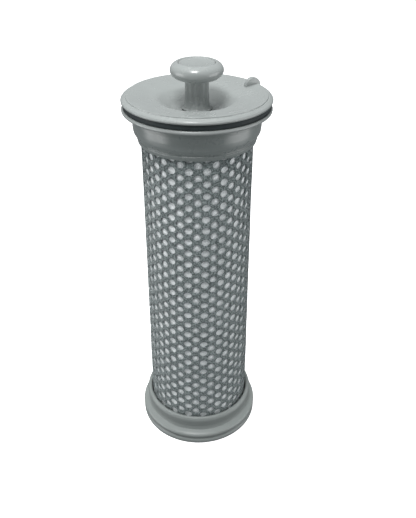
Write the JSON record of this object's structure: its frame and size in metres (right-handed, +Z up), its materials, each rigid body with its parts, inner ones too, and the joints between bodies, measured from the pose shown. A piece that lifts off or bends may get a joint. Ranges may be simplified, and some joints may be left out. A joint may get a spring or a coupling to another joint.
{
  "type": "filter cartridge with pull knob",
  "caption": "Tall cylindrical filter cartridge: mesh sleeve on a flared base, and a pleated element that lifts out by a dished lid with a mushroom knob.",
  "frame": {"origin": "centre of the underside, on the cartridge's axis", "axes": "+Z up along the axis, from base to knob; +X to the viewer's right; -Y towards the viewer"},
  "size_m": [0.052, 0.052, 0.1564],
  "materials": {
    "grey_plastic": "satin moulded, light grey",
    "grey_rubber": "smooth soft moulding, mid grey",
    "black_rubber": "matte black",
    "mesh_fabric": "dark grey knitted spacer mesh with rows of round holes",
    "white_foam": "pale open-cell foam",
    "filter_paper": "off-white pleated fibre sheet",
    "white_plastic": "off-white moulded",
    "steel": "plain"
  },
  "bodies": {
    "sleeve": {"base_cap": "grey_plastic", "base_seal": "grey_rubber", "mesh_sleeve": "mesh_fabric", "foam_sleeve": "white_foam", "sleeve_cage": "white_plastic", "collar": "grey_rubber", "collar_insert": "white_plastic"},
    "element": {"element_bottom_cap": "white_plastic", "element_oring": "black_rubber", "core_tube": "white_plastic", "pleated_media": "filter_paper", "pleat_band_lower": "white_plastic", "pleat_band_upper": "white_plastic", "element_top_cap": "white_plastic"},
    "lid": {"seal_carrier": "grey_plastic", "lid_seal": "black_rubber", "lid_plate": "grey_plastic", "stem": "grey_plastic", "stem_oring": "black_rubber", "knob": "grey_plastic", "knob_cap": "grey_plastic", "centre_screw": "steel", "washer": "steel", "centre_nut": "steel"}
  },
  "joints": [
    {"name": "element_lift", "type": "slide", "parent": "sleeve", "child": "element", "axis": [0, 0, 1], "range_m": [0, 0.14]},
    {"name": "lid_turn", "type": "hinge", "parent": "element", "child": "lid", "pos_m": [0, 0, 0], "axis": [0, 0, 1], "range_deg": [0, 60]}
  ]
}
